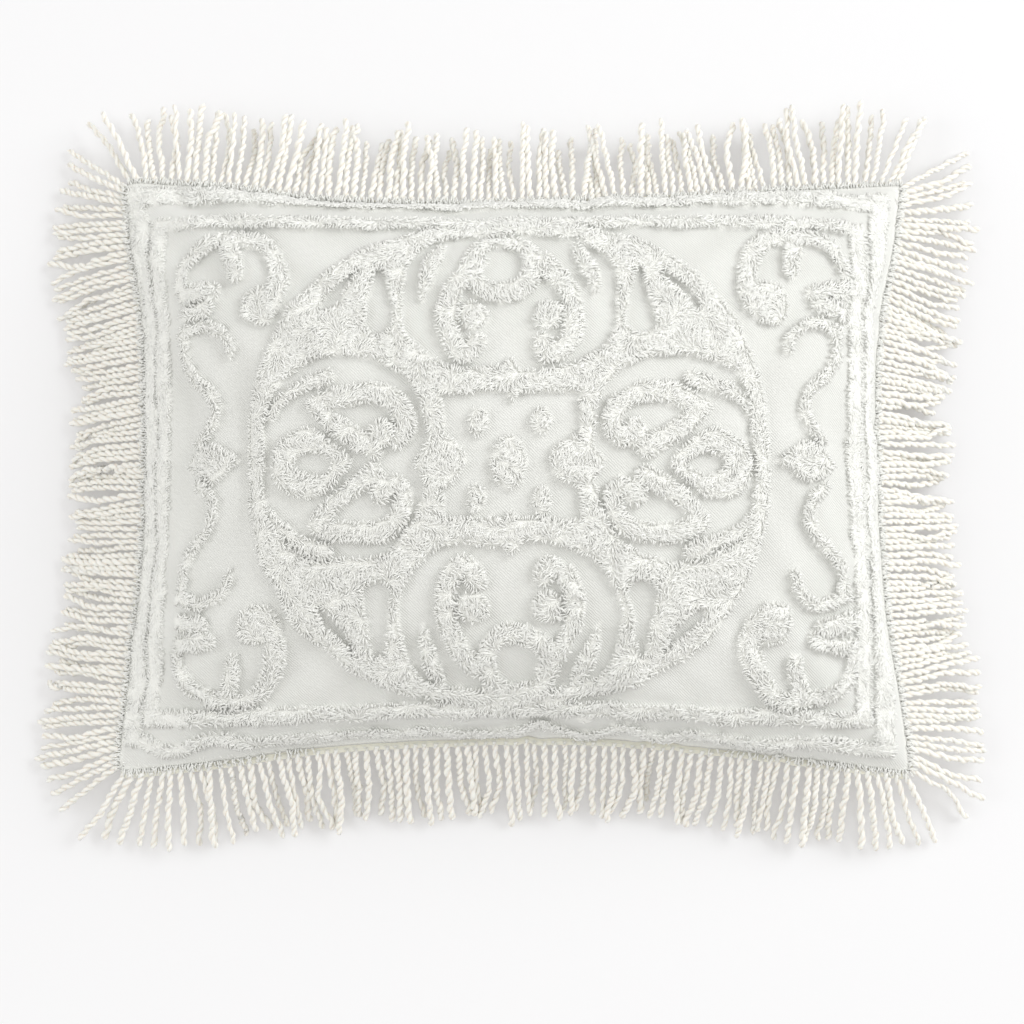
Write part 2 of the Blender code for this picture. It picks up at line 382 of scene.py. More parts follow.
def settle_cloth(flat, formed, frames=24, grown_by=12):
    """Drapes the flat cover onto the form with Blender's cloth and returns the settled points."""
    mesh = bpy.data.meshes.new("cover_cloth")
    cells = np.vstack([cell_corners(front_index), cell_corners(back_index)[:, ::-1]])
    mesh.from_pydata(flat.tolist(), [], cells.tolist())
    cloth = bpy.data.objects.new("cover_cloth", mesh)
    bpy.context.scene.collection.objects.link(cloth)
    cloth.shape_key_add(name="cut")
    filled = cloth.shape_key_add(name="filled")
    filled.data.foreach_set("co", formed.astype(np.float32).ravel())
    for value, when in ((0, 1), (1, grown_by)):
        filled.value = value
        filled.keyframe_insert("value", frame=when)
    pins = cloth.vertex_groups.new(name="pins")
    seam = np.zeros(len(flat), bool)
    seam[np.r_[front_index[0], front_index[-1], front_index[:, 0], front_index[:, -1]]] = True
    pins.add(np.flatnonzero(seam).tolist(), SEAM_PIN, "REPLACE")
    pins.add(np.flatnonzero(~seam).tolist(), FACE_PIN, "REPLACE")
    modifier = cloth.modifiers.new("cloth", "CLOTH")
    settings = modifier.settings
    settings.quality = 6
    settings.mass, settings.air_damping = 0.3, 4
    settings.tension_stiffness, settings.compression_stiffness = 40, 15
    settings.shear_stiffness, settings.bending_stiffness = 5, 10
    settings.vertex_group_mass = "pins"
    settings.effector_weights.gravity = 0
    modifier.collision_settings.use_collision = False
    modifier.point_cache.frame_start, modifier.point_cache.frame_end = 1, frames + 1
    for number in range(1, frames + 1):
        bpy.context.scene.frame_set(number)
    settled = np.empty(len(flat) * 3, np.float32)
    evaluated = cloth.evaluated_get(bpy.context.evaluated_depsgraph_get())
    evaluated.data.vertices.foreach_get("co", settled)
    bpy.data.objects.remove(cloth)
    bpy.data.meshes.remove(mesh)
    bpy.context.scene.frame_set(1)
    return settled.reshape(-1, 3).astype(float)


def smoothed(grid, passes):
    """Each inner point moved halfway to the mean of its four neighbours, a few times."""
    grid = grid.copy()
    for _ in range(passes):
        around = (grid[:-2, 1:-1] + grid[2:, 1:-1] + grid[1:-1, :-2] + grid[1:-1, 2:]) / 4
        grid[1:-1, 1:-1] += 0.5 * (around - grid[1:-1, 1:-1])
    return grid


KEEP_PUCKER = 0.75  # the tufting makes the cloth stiffer than plain cotton, so its puckers are softer
MOST_MOVE = 7 * MM
APART = 1 * MM  # how far each flat panel starts from the plane between them
UNEVEN_FILLING = 0.4 * MM

chance = np.random.default_rng(SEED)
form_front, form_back = formed_panel(cut_u, cut_v, 1), formed_panel(cut_u, cut_v, -1)
form_back[[0, -1]], form_back[:, [0, -1]] = form_front[[0, -1]], form_front[:, [0, -1]]
flat_x, flat_y = np.meshgrid(cut_u * CUT_HALF[0], cut_v * CUT_HALF[1])
flat_grid = np.stack([flat_x, flat_y, np.zeros_like(flat_x)], -1)
cover_front, cover_back = form_front, form_back
lift = np.array((0, 0, APART))
formed = joined(form_front, form_back)
formed[:, 2] += chance.normal(0, UNEVEN_FILLING, len(formed))
settled = settle_cloth(joined(flat_grid + lift, flat_grid - lift), formed)
cover_front, cover_back = (
    form + KEEP_PUCKER * smoothed(np.clip(settled[index] - form, -MOST_MOVE, MOST_MOVE), 2)
    for form, index in ((form_front, front_index), (form_back, back_index))
)
cover_back[..., 2] = np.where(form_back[..., 2] <= 0, 0, np.maximum(cover_back[..., 2], 0))
cover_back[[0, -1]], cover_back[:, [0, -1]] = cover_front[[0, -1]], cover_front[:, [0, -1]]
moved = np.linalg.norm(cover_front - form_front, axis=-1) / MM
print(f"the cloth settled {moved.mean():.1f} mm from the form on average, {moved.max():.1f} at most")

# %% [markdown]
# Everything that is sewn to the cover is placed in the cut panel's own flat measures, u across and v up, and
# is carried to the filled shape by reading the settled grid between its points with a smooth curve.


# %% Read the cover anywhere
def on_cover(u, v, grid=None):
    """The filled cover's points for flat places u and v, in metres from the middle of the panel."""
    grid = cover_front if grid is None else grid
    across, across_weights = near_points((u / CUT_HALF[0] + 1) / 2 * columns, columns + 1)
    up, up_weights = near_points((v / CUT_HALF[1] + 1) / 2 * rows, rows + 1)
    near = grid[up[..., :, None], across[..., None, :]]
    return np.einsum("...i,...j,...ijk->...k", up_weights, across_weights, near)


def unit(vectors):
    return vectors / np.maximum(np.linalg.norm(vectors, axis=-1, keepdims=True), 1e-12)


def cover_axes(u, v):
    """The directions of u, of v and of the outward normal on the front of the filled cover."""
    step = 1.5 * MM
    low_u, high_u = np.maximum(u - step, -CUT_HALF[0]), np.minimum(u + step, CUT_HALF[0])
    low_v, high_v = np.maximum(v - step, -CUT_HALF[1]), np.minimum(v + step, CUT_HALF[1])
    along_u = unit(on_cover(high_u, v) - on_cover(low_u, v))
    along_v = unit(on_cover(u, high_v) - on_cover(u, low_v))
    return along_u, along_v, unit(np.cross(along_u, along_v))


def mesh_object(name, points, face_arrays, material):
    """An object from arrays of points and of faces, each array with one number of corners."""
    mesh = bpy.data.meshes.new(name)
    sizes = np.concatenate([np.full(len(faces), faces.shape[1]) for faces in face_arrays])
    mesh.vertices.add(len(points))
    mesh.vertices.foreach_set("co", np.asarray(points, np.float32).ravel())
    mesh.loops.add(int(sizes.sum()))
    mesh.loops.foreach_set("vertex_index", np.concatenate([f.ravel() for f in face_arrays]).astype(np.int32))
    mesh.polygons.add(len(sizes))
    mesh.polygons.foreach_set("loop_start", np.r_[0, np.cumsum(sizes)[:-1]].astype(np.int32))
    mesh.update(calc_edges=True)
    mesh.polygons.foreach_set("use_smooth", np.ones(len(sizes), bool))
    mesh.materials.append(material)
    made = bpy.data.objects.new(name, mesh)
    bpy.context.scene.collection.objects.link(made)
    print(f"{name}: {(sizes - 2).sum():,} triangles")
    return made


def keep_values(made, name, values):
    """Keeps a value at every point of a mesh, for its material to read."""
    kept = made.data.attributes.new(name, "FLOAT", "POINT")
    kept.data.foreach_set("value", values.astype(np.float32))


# %% [markdown]
# ## The chenille pattern
#
# The ornament is a traditional one: a medallion with four round fields, corner scrolls joined by a vine, and
# border lines. It is tufted through the cloth, so it is a matter of where there is pile. Each shape below is
# a signed depth: how far a place on the flat panel lies inside the shape, negative outside. Depths join with
# a maximum and cut with a minimum, so the whole pattern is one function that both the raised
# cloth and the tufts can read. Each motif is drawn in one quarter of the panel and mirrored to the others, as
# in folded paper.


# %% Shapes with a depth
def disc(x, y, centre_x, centre_y, radius):
    return radius - np.hypot(x - centre_x, y - centre_y)


def block(x, y, centre_x, centre_y, half_x, half_y):
    return np.minimum(half_x - abs(x - centre_x), half_y - abs(y - centre_y))


def lozenge(x, y, centre_x, centre_y, half_x, half_y):
    inside = 1 - abs(x - centre_x) / half_x - abs(y - centre_y) / half_y
    return inside * half_x * half_y / math.hypot(half_x, half_y)


def oval(x, y, centre_x, centre_y, half_x, half_y, power=2.0):
    """An ellipse, or with more power a squarer shape, and with less one pointed at its four ends."""
    x, y = abs(x - centre_x), abs(y - centre_y)
    share = ((x / half_x) ** power + (y / half_y) ** power) ** (1 / power)
    share = np.maximum(share, 1e-6)
    return np.minimum((1 - share) / share * np.hypot(x, y), min(half_x, half_y))


def curve(points, steps=8):
    """A smooth line through a few points."""
    points = np.array(points, float)
    beyond = np.vstack([2 * points[0] - points[1], points, 2 * points[-1] - points[-2]])
    place = np.linspace(0, len(points) - 1, steps * (len(points) - 1) + 1)
    first = np.minimum(place.astype(int), len(points) - 2)
    return np.einsum("ik,ikj->ij", catmull_rom(place - first), beyond[first[:, None] + np.arange(4)])


def band(x, y, points, start_width, end_width=None, pointed=False):
    """A stroke through a few points, as wide as a brush that goes from one width to the other.

    A pointed stroke swells from a thin start to its width in the middle and back, like a leaf.
    """
    line = curve(points)
    end_width = start_width if end_width is None else end_width
    deepest = np.full(np.shape(x), -1.0)
    for number, (start, end) in enumerate(zip(line, line[1:])):
        along = end - start
        share = ((x - start[0]) * along[0] + (y - start[1]) * along[1]) / (along @ along)
        share = np.clip(share, 0, 1)
        walked = (number + share) / (len(line) - 1)
        width = start_width + (end_width - start_width) * walked
        if pointed:
            width = width * (0.25 + 0.75 * np.sin(math.pi * walked))
        away = np.hypot(x - start[0] - share * along[0], y - start[1] - share * along[1])
        deepest = np.maximum(deepest, width / 2 - away)
    return deepest


def join(*depths):
    return np.maximum.reduce(depths)


def cut(depth, *holes):
    return np.minimum.reduce([depth, *(-hole for hole in holes)])


# %% [markdown]
# The medallion's ring is a squared circle, which fills the panel's height. Four round fields are left plain
# inside it, and the spandrels between them are tufted all over, but for two slim slits each. A side field
# holds a palmette: a heart between two volutes, with a crescent above and below. The upper and
# lower fields hold a lyre: a loop whose two arms curl in, with a long leaf outside each.

# %% The medallion
RING_HALF = (0.2095, 0.2045)
RING_WIDTH = 0.0160
RING_POWER = 2.15


def ring_oval(x, y, inset):
    return oval(x, y, 0, 0, RING_HALF[0] - inset, RING_HALF[1] - inset, RING_POWER)


def ring(x, y):
    return cut(ring_oval(x, y, 0), ring_oval(x, y, RING_WIDTH))


def spandrels(x, y):
    tufted = ring_oval(x, y, 0.006)
    side_field = oval(x, y, 0.1315, 0, 0.0670, 0.0795, 2.4)
    upper_field = oval(x, y, 0, 0.1290, 0.0845, 0.0620, 2.7)
    middle_field = block(x, y, 0, 0, 0.0560, 0.0480)
    outer_slit = band(x, y, ((0.1205, 0.168), (0.1320, 0.146), (0.1480, 0.120)), 0.0125, pointed=True)
    inner_slit = band(x, y, ((0.1030, 0.154), (0.1020, 0.130), (0.1025, 0.108)), 0.0060, 0.0220)
    return cut(tufted, side_field, upper_field, middle_field, outer_slit, inner_slit)


def palmette(x, y):
    heart_x = 0.1600
    round_end = oval(x, y, heart_x, 0, 0.0300, 0.0290)
    pointed_end = oval(x, y, heart_x, 0, 0.0370, 0.0290, 1.35)
    heart = cut(np.where(x > heart_x, round_end, pointed_end), oval(x, y, 0.1540, 0, 0.0150, 0.0075))
    petal = band(x, y, ((0.1500, 0.0420), (0.1320, 0.0270), (0.1070, 0.0095)), 0.0150, 0.0175)
    sweep = ((0.150, 0.0450), (0.131, 0.0525), (0.109, 0.0550), (0.093, 0.0510))
    curl = ((0.0820, 0.0400), (0.0803, 0.0260), (0.0870, 0.0170))
    volute = band(x, y, sweep + curl, 0.0185, 0.0155)
    bud = oval(x, y, 0.0980, 0.0225, 0.0105, 0.0120)
    rim = ((0.1910, 0.0380), (0.1820, 0.0500), (0.1650, 0.0605), (0.1430, 0.0675))
    crescent = band(x, y, rim, 0.0080, 0.0155)
    return join(heart, petal, volute, bud, crescent)


def lyre(x, y):
    arm = ((0.0260, 0.1660), (0.0385, 0.1500), (0.0475, 0.1280), (0.0490, 0.1060))
    curl = ((0.0435, 0.0890), (0.0320, 0.0825), (0.0265, 0.0925))
    volute = band(x, y, arm + curl, 0.0170, 0.0170)
    bud = oval(x, y, 0.0290, 0.1150, 0.0125, 0.0135)
    vein = ((0.0500, 0.1850), (0.0575, 0.1690), (0.0645, 0.1510), (0.0690, 0.1280))
    leaf = band(x, y, vein, 0.0145, pointed=True)
    return join(volute, bud, leaf)


def loop(x, y):
    return cut(disc(x, y, 0, 0.1600, 0.0335), disc(x, y, 0, 0.1620, 0.0175))


def frame_of_middle(x, y):
    column = band(x, y, ((0.0580, 0.0), (0.0582, 0.030), (0.0590, 0.060)), 0.0130)
    shelf = block(x, y, 0, 0.0595, 0.062, 0.0098)
    tip = lozenge(x, y, 0, 0.0600, 0.0125, 0.0215)
    return join(column, shelf, tip)


def middle(x, y):
    cusp = oval(x, y, 0.0530, 0, 0.0215, 0.0215, 1.5)
    centre = oval(x, y, 0, 0, 0.0140, 0.0225, 1.6)
    dot = oval(x, y, 0.0250, 0.0305, 0.0085, 0.0125)
    return join(cusp, centre, dot)


# %% [markdown]
# Each corner holds a round scroll that ends in a bud, with an inner leaf and a two-lobed side leaf. A hook
# and a thin vine lead from it to a lozenge at the middle of the side. Two lines run round the panel, and
# short fuzz follows the seam itself. The lines are measured from each edge by themselves, and every motif
# sits a few millimetres off the middle, as hand-guided tufting does.


# %% Corners, vines and borders
def corner_scroll(x, y):
    start = ((0.2760, 0.1510), (0.2705, 0.1690), (0.2590, 0.1820), (0.2385, 0.1885))
    turn = ((0.2170, 0.1895), (0.2010, 0.1825), (0.1910, 0.1660), (0.1870, 0.1450), (0.1930, 0.1270))
    scroll = band(x, y, start + turn, 0.0120, 0.0190)
    bud = oval(x, y, 0.2045, 0.1275, 0.0165, 0.0170, 2.6)
    inner_leaf = band(x, y, ((0.2290, 0.1810), (0.2245, 0.1680), (0.2240, 0.1560)), 0.0150, 0.0130)
    upper_lobe = band(x, y, ((0.2720, 0.1435), (0.2560, 0.1420), (0.2450, 0.1400)), 0.0160)
    lower_lobe = band(x, y, ((0.2720, 0.1250), (0.2600, 0.1265), (0.2520, 0.1280)), 0.0165)
    return join(scroll, bud, inner_leaf, upper_lobe, lower_lobe)


def vine(x, y):
    bend = ((0.2720, 0.1070), (0.2510, 0.1110), (0.2360, 0.1065), (0.2270, 0.0970), (0.2260, 0.0880))
    upper_stem = ((0.2700, 0.1060), (0.2685, 0.0850), (0.2570, 0.0680), (0.2450, 0.0560))
    lower_stem = ((0.2405, 0.0400), (0.2450, 0.0260), (0.2540, 0.0170))
    knot = lozenge(x, y, 0.2410, 0, 0.0290, 0.0175)
    return join(band(x, y, bend, 0.0125, 0.0090), band(x, y, upper_stem + lower_stem, 0.0105), knot)


# How far each line's middle lies from the panel's left, right, lower and upper edge, and how wide it is there
BORDER_LINES = {"outer": (0.0120, 0.0245, 0.0210, 0.0205), "inner": (0.0300, 0.0455, 0.0465, 0.0510)}
BORDER_WIDTHS = {"outer": (0.0165, 0.0205, 0.0145, 0.0210), "inner": (0.0165, 0.0155, 0.0155, 0.0130)}
UPPER_SLANT = 0.012  # the upper lines run a little aslant


def border_line(name, u, v):
    left, right, lower, upper = BORDER_LINES[name]
    across, up = CUT_HALF
    slanted_upper = up - v - upper - UPPER_SLANT * u
    depths = np.stack([across + u - left, across - u - right, up + v - lower, slanted_upper])
    nearest = depths.argmin(0)
    return np.array(BORDER_WIDTHS[name])[nearest] / 2 - abs(depths.min(0))


# Each motif, how far left and down of the panel's middle it sits, and how much it leans
MOTIFS = {
    "ring": (ring, 0.0060, 0.0, 0.0),
    "spandrels": (spandrels, 0.0045, 0.0010, 0.0),
    "palmettes": (palmette, 0.0047, 0.0060, 0.0),
    "lyres": (lyre, 0.0040, 0.0040, 0.0),
    "loops": (loop, 0.0050, 0.0050, 0.037),
    "middle_frame": (frame_of_middle, 0.0030, 0.0017, 0.0),
    "middle": (middle, 0.0050, 0.0060, 0.0),
    "corner_scrolls": (corner_scroll, 0.0025, 0.0025, 0.0),
    "vines": (vine, 0.0060, 0.0015, 0.0),
}

# %% [markdown]
# Tufting is done by eye along a drawn line, so the real bands wander by a millimetre or two. The places are
# shifted by a slow noise before the pattern is read. The same noise, a sum of a few waves in
# seeded random directions, also varies the pile's height and the way that the tufts lean.


# %% A slow noise
def wave_noise(seed, u, v, length, waves=9):
    """A smooth noise of about -1 to 1 whose bumps are about this long."""
    draw = np.random.default_rng(seed)
    total = 0
    for _ in range(waves):
        turn, phase = draw.uniform(0, 2 * math.pi, 2)
        pace = 2 * math.pi / (length * draw.uniform(0.7, 1.6))
        total = total + np.sin(pace * (u * math.cos(turn) + v * math.sin(turn)) + phase)
    return total / math.sqrt(waves)


WANDER = 1.2 * MM
LONG_WAVE, SHORT_WAVE = 0.05, 0.014
FOOT_WANDER, FOOT_WAVE = 4.6 * MM, 0.058  # the lowest line strays the most
FOOT_LINE, FOOT_RAMP = 0.213, 0.01  # how far below the middle it starts to, and over what height
SEAM_FUZZ = 4.5 * MM


def edge_distance(u, v):
    return np.minimum(CUT_HALF[0] - abs(u), CUT_HALF[1] - abs(v))


def wandering(u, v):
    """Places shifted by the tufting's unevenness."""
    shift_u = WANDER * (wave_noise(1, u, v, LONG_WAVE) + 0.5 * wave_noise(2, u, v, SHORT_WAVE))
    shift_v = WANDER * (wave_noise(3, u, v, LONG_WAVE) + 0.5 * wave_noise(4, u, v, SHORT_WAVE))
    near_foot = np.clip((-v - FOOT_LINE) / FOOT_RAMP, 0, 1)
    return u + shift_u, v + shift_v + FOOT_WANDER * near_foot * wave_noise(7, u, 0 * v, FOOT_WAVE)


def motif_depths(u, v):
    """How far inside each motif the places lie, with the border lines and the seam's fuzz as the last."""
    moved_u, moved_v = wandering(u, v)
    depths = [
        motif(abs(moved_u + left + lean * moved_v), abs(moved_v + down))
        for motif, left, down, lean in MOTIFS.values()
    ]
    lines = [border_line(name, moved_u, moved_v) for name in BORDER_LINES]
    return np.stack([*depths, *lines, SEAM_FUZZ - edge_distance(u, v)])


def pile_depth(u, v):
    return motif_depths(u, v).max(0)


def rise(depth, reach):
    """From 0 outside a shape to 1 this far inside it, with rounded shoulders."""
    share = np.clip(depth / reach, 0, 1)
    return np.sqrt(1 - (1 - share) ** 2)


# %% [markdown]
# ## The cover
#
# The cover is one closed mesh. The front has a fine grid, so that the cloth can stand up under the tufts as
# packed pile does, and the back, which is plain, has every third line of it. Along the seam the back's faces
# take in the front's extra points, which keeps the mesh closed.

# %% Build the cover
FINE = 3  # front cells for each back cell
BACK_CELL = 9.6 * MM
PACKED_PILE = 3.8 * MM
PILE_SHOULDER = 3.2 * MM
HIDDEN_EDGE = 1.2 * MM  # the raised cloth starts this far inside a band, under its outermost tufts
PRESSED_FROM, PRESSED_RAMP = 0.268, 0.014  # how far from the middle the pile is pressed, and over what width
REST_GAP = 0.4 * MM  # the back rests on the surface and not in it
back_columns, back_rows = (round(2 * half / BACK_CELL) for half in CUT_HALF)


def grid_places(count_x, count_y):
    u, v = np.meshgrid(np.linspace(-1, 1, count_x + 1), np.linspace(-1, 1, count_y + 1))
    return u * CUT_HALF[0], v * CUT_HALF[1]


def flattened(u):
    """From 0 on the face to 1 along the left and right seams, where folding has pressed the pile flat."""
    return np.clip((abs(u) - PRESSED_FROM) / PRESSED_RAMP, 0, 1)


def packed_height(depth, u):
    """How high the cloth stands under the tufts, which is lower where they are pressed."""
    return PACKED_PILE * rise(depth - HIDDEN_EDGE, PILE_SHOULDER) * (1 - 0.6 * flattened(u))


def build_cover():
    u, v = grid_places(back_columns * FINE, back_rows * FINE)
    depth = pile_depth(u, v)
    height = packed_height(depth, u) * (1 + 0.05 * wave_noise(5, u, v, 0.007))
    height *= np.clip(edge_distance(u, v) / PILE_HEIGHT, 0, 1)  # none at the seam itself
    front = on_cover(u, v) + height[..., None] * cover_axes(u, v)[2]
    front_at = np.arange(front[..., 0].size).reshape(u.shape)
    back_u, back_v = grid_places(back_columns, back_rows)
    back = on_cover(back_u, back_v, cover_back)
    back[..., 2] = np.maximum(back[..., 2], REST_GAP)
    back_at = front_at[::FINE, ::FINE].copy()
    inside = (back_rows - 1, back_columns - 1)
    back_at[1:-1, 1:-1] = front_at.size + np.arange(math.prod(inside)).reshape(inside)
    points = np.vstack([front.reshape(-1, 3), back[1:-1, 1:-1].reshape(-1, 3)])
    outlines = {}
    for row in range(back_rows):
        for column in range(back_columns):
            outline = cell_outline(front_at, back_at, column, row)
            outlines.setdefault(len(outline), []).append(outline)
    faces = [cell_corners(front_at), *(np.array(outlines[size]) for size in sorted(outlines))]
    cover = mesh_object("chenille_cover", points, faces, ground_cotton)
    flat_front, flat_back = np.stack([u, v], -1), np.stack([back_u, back_v], -1)[1:-1, 1:-1]
    flat = np.vstack([flat_front.reshape(-1, 2), flat_back.reshape(-1, 2)])
    layer = cover.data.uv_layers.new(name="flat_cloth")
    loops = np.empty(len(cover.data.loops), np.int32)
    cover.data.loops.foreach_get("vertex_index", loops)
    layer.data.foreach_set("uv", (flat[loops] + CUT_HALF).astype(np.float32).ravel())
    under_tufts = np.clip((depth.ravel() - HIDDEN_EDGE) / (1 * MM) + 0.5, 0, 1)
    keep_values(cover, "tufted", np.r_[under_tufts, np.zeros(len(points) - depth.size)])
    return cover


def cell_outline(front_at, back_at, column, row):
    """A back cell's corners, clockwise from above, with the seam's own points where it meets the seam."""
    last_row, last_column = back_at.shape[0] - 1, back_at.shape[1] - 1
    outline = []
    for (c0, r0), (c1, r1) in (((0, 0), (0, 1)), ((0, 1), (1, 1)), ((1, 1), (1, 0)), ((1, 0), (0, 0))):
        start, end = (row + r0, column + c0), (row + r1, column + c1)
        outline.append(back_at[start])
        on_side = start[1] == end[1] and start[1] in (0, last_column)
        on_top = start[0] == end[0] and start[0] in (0, last_row)
        if on_side or on_top:
            for step in range(1, FINE):
                place = [start[k] * FINE + (end[k] - start[k]) * step for k in (0, 1)]
                outline.append(front_at[place[0], place[1]])
    return outline


cover = build_cover()
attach(cover, "root")
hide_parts("sham")

# %% [markdown]
# ## The tufts
#
# Chenille's surface is thousands of short ends of soft yarn. Hair particles could draw them, but would not be
# part of the mesh, so each tuft is a small closed body of three sides with a blunt cut end, bent over at its
# middle. Tufts at the edge of a band splay outwards and hide where it meets the ground. Those inside lean
# with a slow noise, so that they lie in swirls. The ends that come out of one stitch lie together in a clump,
# and some of each tuft's lean is left to chance. Along the seam a short fuzz lies out level over the fringe.

# %% Tuft the pattern
TUFT_PITCH = 1.8 * MM
SPLAY = 2.2 * MM  # the stitches end this far inside a band's edge, and their ends reach to it
TUFT_LENGTH = (5.0 * MM, 7.2 * MM)
TUFT_RADIUS = (0.78 * MM, 1.00 * MM)
CLUMP = 5.0 * MM  # the width of one clump of ends
LOW_TILT, HIGH_TILT = (68, 82), (90, 104)  # degrees from upright, below a tuft's bend and above it
SINK = 0.5 * MM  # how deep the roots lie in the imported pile
FUZZ_REACH = 4.4 * MM  # how far in from the seam the fuzz is stitched
LEVEL_REACH, FUZZ_LIFT = 6 * MM, 0.9 * MM  # how far in it turns level, and how far it is held up
MISSED = 0.03  # the share of stitches that are missing
PRISM = np.radians((90, 210, 330))  # the directions of a tuft's three edges


def tuft_places():
    """Jittered places over the whole panel."""
    u, v = np.meshgrid(
        np.arange(-CUT_HALF[0] + TUFT_PITCH / 2, CUT_HALF[0], TUFT_PITCH),
        np.arange(-CUT_HALF[1] + TUFT_PITCH / 2, CUT_HALF[1], TUFT_PITCH),
    )
    u = u + (np.arange(len(u)) % 2)[:, None] * TUFT_PITCH / 2
    shift = chance.uniform(-0.30, 0.30, (2, *u.shape)) * TUFT_PITCH
    most_u, most_v = CUT_HALF - 1 * MM
    return np.clip(u + shift[0], -most_u, most_u).ravel(), np.clip(v + shift[1], -most_v, most_v).ravel()


def clump_turn(u, v):
    """The ends that come out of one stitch lie together, and each such clump lies a little differently."""
    column = ((u + CUT_HALF[0] + 1.5 * MM * wave_noise(8, u, v, 0.012)) / CLUMP).astype(int) + 1
    row = ((v + CUT_HALF[1] + 1.5 * MM * wave_noise(9, u, v, 0.012)) / CLUMP).astype(int) + 1
    turns = chance.normal(0, 0.35, (row.max() + 2, column.max() + 2))
    return turns[row, column]


def leaning(u, v, depth):
    """Which way each tuft lies in the panel's plane, and how near it is to a band's edge, from 0 to 1."""
    step = 0.6 * MM
    slope_u = pile_depth(u + step, v) - pile_depth(u - step, v)
    slope_v = pile_depth(u, v + step) - pile_depth(u, v - step)
    outward = np.arctan2(-slope_v, -slope_u)
    swirl = math.pi * 1.1 * wave_noise(6, u, v, 0.060)
    at_edge = np.clip(1.15 - (depth - SPLAY) / (2.4 * MM), 0, 1)
    lean = np.arctan2(
        at_edge * np.sin(outward) + (1 - at_edge) * np.sin(swirl),
        at_edge * np.cos(outward) + (1 - at_edge) * np.cos(swirl),
    )
    return lean + clump_turn(u, v) + chance.normal(0, 0.42, len(u)), at_edge


def tuft_points(u, v, depth):
    """The nine corners of every tuft: three at its root, three at its bend and three at its cut end."""
    along_u, along_v, normal = cover_axes(u, v)
    lean, at_edge = leaning(u, v, depth)
    at_seam = np.clip(1 - edge_distance(u, v) / LEVEL_REACH, 0, 1)
    # The cover turns down at the seam, but the short ends there are held up by the cords and lie out level
    normal = unit(normal + 3 * at_seam[:, None] * np.array((0, 0, 1.0)))
    on_side = CUT_HALF[0] - abs(u) < CUT_HALF[1] - abs(v)
    over_seam = np.where(on_side, np.where(u > 0, 0, math.pi), np.sign(v) * math.pi / 2)
    lean = np.where(at_seam > 0.3, over_seam + chance.normal(0, 0.4, len(u)), lean)
    across = np.cos(lean)[:, None] * along_u + np.sin(lean)[:, None] * along_v
    across = unit(across - (across * normal).sum(1, keepdims=True) * normal)
    sideways = np.cross(normal, across)
    length = chance.uniform(*TUFT_LENGTH, len(u)) * (1 - 0.42 * at_edge * (1 - at_seam))
    radius = chance.uniform(*TUFT_RADIUS, len(u)) * (1 - 0.15 * flattened(u))
    low_tilt = np.radians(chance.uniform(*LOW_TILT, len(u)) - 6 * at_edge + 9 * flattened(u))
    high_tilt = np.radians(chance.uniform(*HIGH_TILT, len(u)) + 4 * at_edge - 4 * flattened(u))
    height = packed_height(depth, u) * (1 - at_seam) - 0.3 * MM * flattened(u) - SINK
    height = height + chance.uniform(0, 0.7 * MM, len(u)) + FUZZ_LIFT * at_seam
    root = on_cover(u, v) + height[:, None] * normal
    first = np.cos(low_tilt)[:, None] * normal + np.sin(low_tilt)[:, None] * across
    second = np.cos(high_tilt)[:, None] * normal + np.sin(high_tilt)[:, None] * across
    second = unit(second + chance.normal(0, 0.45, len(u))[:, None] * sideways)
    bend = root + (0.5 * length)[:, None] * first
    end = bend + (0.5 * length)[:, None] * second
    corners_of_tuft = []
    for point, way, share in ((root, first, 1.0), (bend, unit(first + second), 1.0), (end, second, 0.95)):
        lift = np.cross(sideways, way)
        for angle in PRISM:
            spoke = math.cos(angle) * sideways - math.sin(angle) * lift
            corners_of_tuft.append(point + (share * radius)[:, None] * spoke)
    return np.stack(corners_of_tuft, 1)


TUFT_SIDES = np.array(
    [[k + low, (k + 1) % 3 + low, (k + 1) % 3 + low + 3, k + low + 3] for low in (0, 3) for k in range(3)]
)
TUFT_ENDS = np.array([[2, 1, 0], [6, 7, 8]])


def tuft_object(name, points):
    first = np.arange(len(points))[:, None, None] * 9
    sides, ends = (TUFT_SIDES + first).reshape(-1, 4), (TUFT_ENDS + first).reshape(-1, 3)
    tufts = mesh_object(name, points.reshape(-1, 3), [sides, ends], tuft_cotton)
    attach(tufts, "root")


def tuft_all():
    u, v = tuft_places()
    depths = motif_depths(u, v)
    depth, owner = depths.max(0), depths.argmax(0)
    kept = ((depth > SPLAY) | (edge_distance(u, v) < FUZZ_REACH)) & (chance.uniform(size=len(u)) > MISSED)
    # The fuzz on the seam thins out along the middle of the foot, where the heading comes into view
    kept &= (v > SEAM_FUZZ - CUT_HALF[1]) | (abs(u) > chance.uniform(0.15, 0.30, len(u)))
    u, v, depth, owner = (values[kept] for values in (u, v, depth, owner))
    points = tuft_points(u, v, depth)
    for number, name in enumerate([*MOTIFS, *(f"{line}_border" for line in BORDER_LINES), "seam"]):
        tuft_object(f"tufts_{name}", points[owner == number])
    print(f"{len(u):,} tufts")


tuft_all()

# %% [markdown]
# ## The bullion fringe
#
# A bullion cord is a yarn that is twisted until it doubles back on itself, so that two plies wind round each
# other and the end is a closed loop. The fringe comes as cords on a narrow woven heading, which is caught in
# the seam and shows along the foot. A curve with a round bevel could stand for a cord, but would have no
# plies. So each cord is a tube whose section is two circles side by side, and the section turns as it goes
# along. The cords leave the seam level, fall to the surface under their own weight, and fan out round the
# corners.

